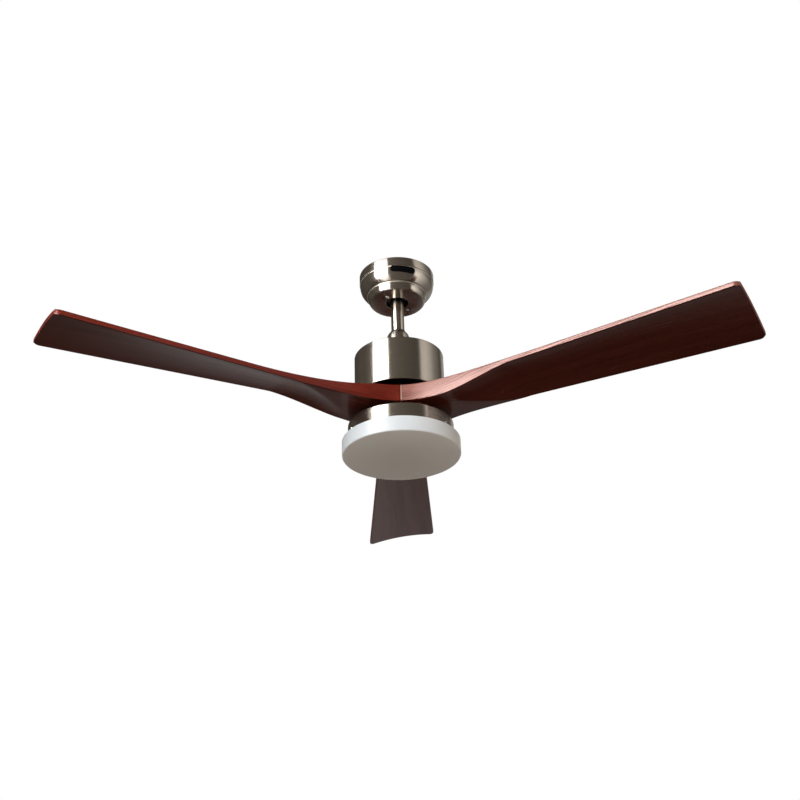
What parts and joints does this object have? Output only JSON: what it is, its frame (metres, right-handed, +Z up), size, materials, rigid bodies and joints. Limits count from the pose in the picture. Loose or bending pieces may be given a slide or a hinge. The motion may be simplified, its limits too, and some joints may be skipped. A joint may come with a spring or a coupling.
{
  "type": "ceiling fan with light",
  "caption": "Ceiling fan with carved wooden blades that meet at the hub, a drum motor housing, a short downrod and a round opal light below.",
  "frame": {"origin": "on the ceiling plane, where the fan's axis meets the top face of the hanger bracket", "axes": "+Z up into the ceiling along the fan's axis, +X along the bracket's ceiling slots, -Y towards the badge side, midway between two blades"},
  "size_m": [1.2102, 1.0512, 0.3906],
  "materials": {
    "brushed_nickel": "brushed nickel plate, clear lacquer",
    "zinc_steel": "bright zinc plate",
    "steel": "machined",
    "cast_alloy": "die cast",
    "black_alloy": "die cast, black paint",
    "black_plastic": "moulded",
    "black_rubber": "moulded",
    "black_steel": "black powder coat",
    "stained_wood": "red-brown stain, semi-gloss lacquer",
    "opal_plastic": "opal acrylic, satin",
    "white_plastic": "moulded",
    "cable_sleeve": "braided sleeve",
    "green_paint": "green earth screw",
    "lamination": "stacked sheet steel",
    "copper_wire": "enamelled copper wire",
    "magnet": "sintered",
    "led_lens": "yellow phosphor"
  },
  "bodies": {
    "ceiling_mount": {"hanger_bracket": "black_steel", "receiver": "black_plastic", "terminal_block": "white_plastic", "earth_screw": "green_paint", "canopy": "brushed_nickel", "canopy_screws": "zinc_steel", "canopy_badge": "black_plastic"},
    "seat_liner": {"ball_liner": "black_plastic"},
    "drop_unit": {"hanger_ball": "black_plastic", "ball_pin": "steel", "downrod": "brushed_nickel", "rod_grommet": "black_rubber", "wiring_harness": "cable_sleeve", "harness_plug": "white_plastic", "yoke": "cast_alloy", "yoke_pin": "steel", "yoke_clip": "steel", "yoke_set_screws": "steel", "yoke_cover": "brushed_nickel", "housing_screws": "steel", "motor_housing": "brushed_nickel", "motor_bracket": "steel", "motor_shaft": "steel", "shaft_circlips": "steel", "stator_core": "lamination", "stator_coils": "copper_wire", "kit_nut": "steel", "kit_adapter": "black_steel", "kit_screws": "steel", "kit_pan": "brushed_nickel", "bayonet_studs": "zinc_steel", "light_driver": "white_plastic", "sink_posts": "steel", "heat_sink": "cast_alloy", "led_board": "white_plastic", "led_chips": "led_lens", "sink_screws": "steel"},
    "rotor": {"rotor_upper_shell": "black_alloy", "rotor_lower_shell": "black_alloy", "rotor_magnets": "magnet", "rotor_screws": "steel", "upper_bearing": "steel", "lower_bearing": "steel", "blade_carrier": "black_steel", "carrier_screws": "steel", "blade_1": "stained_wood", "blade_2": "stained_wood", "blade_3": "stained_wood", "blade_clamp": "black_steel", "blade_screws": "steel"},
    "light_cover": {"diffuser": "opal_plastic"}
  },
  "joints": [
    {"name": "sway_fore_aft", "type": "hinge", "parent": "ceiling_mount", "child": "seat_liner", "pos_m": [0, 0, -0.032], "axis": [1, 0, 0], "range_deg": [-10, 10]},
    {"name": "sway_side", "type": "hinge", "parent": "seat_liner", "child": "drop_unit", "pos_m": [0, 0, -0.032], "axis": [0, 1, 0], "range_deg": [-10, 10]},
    {"name": "rotor_spin", "type": "hinge", "parent": "drop_unit", "child": "rotor", "pos_m": [0, 0, -0.229], "axis": [0, 0, 1], "continuous": true},
    {"name": "diffuser_twist", "type": "hinge", "parent": "drop_unit", "child": "light_cover", "pos_m": [0, 0, -0.361], "axis": [0, 0, 1], "range_deg": [0, 18]}
  ]
}
